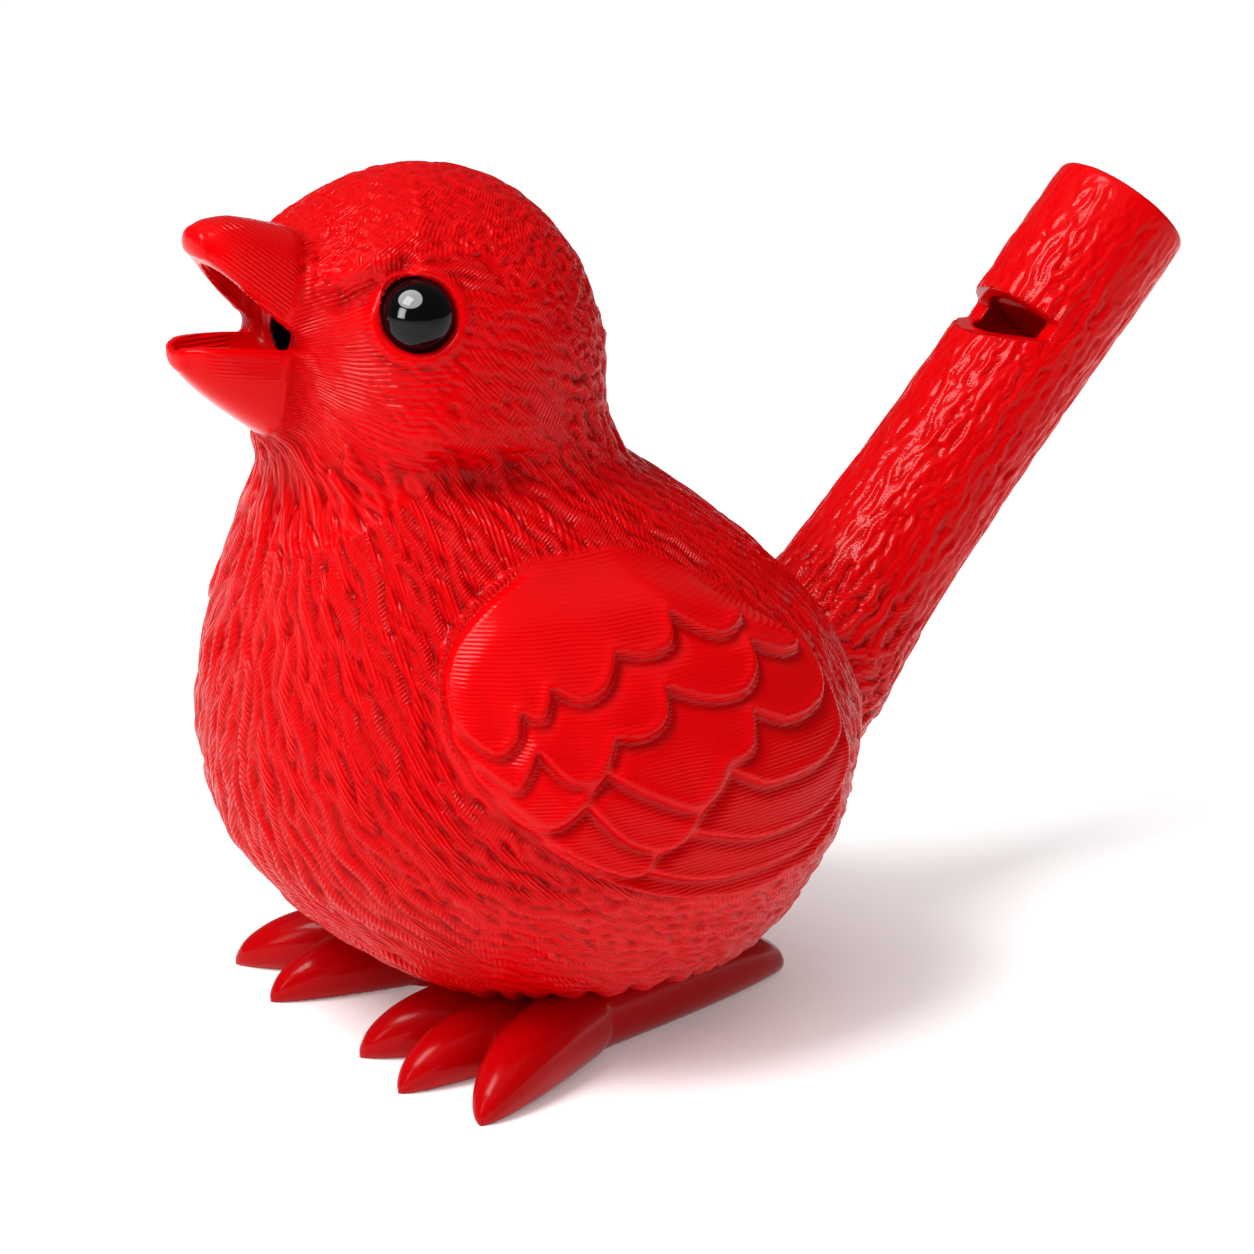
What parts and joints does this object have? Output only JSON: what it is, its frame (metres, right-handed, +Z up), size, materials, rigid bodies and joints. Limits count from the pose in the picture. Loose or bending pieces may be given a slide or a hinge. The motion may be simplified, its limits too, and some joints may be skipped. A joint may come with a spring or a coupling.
{
  "type": "bird whistle",
  "caption": "Hollow plastic bird that is blown through its tail tube, with an open beak, scalloped wings and toed feet to stand on.",
  "frame": {"origin": "on the floor under the middle of the whole bird's bounding box", "axes": "+Z up, the beak points along -Y, the bird's left wing is on +X"},
  "size_m": [0.0474, 0.0836, 0.0621],
  "materials": {
    "body_plastic": "glossy red, moulded feather grain",
    "eye_plastic": "polished black"
  },
  "bodies": {
    "root": {"body": "body_plastic", "fipple_block": "body_plastic", "eye_left": "eye_plastic", "eye_right": "eye_plastic"}
  },
  "joints": []
}
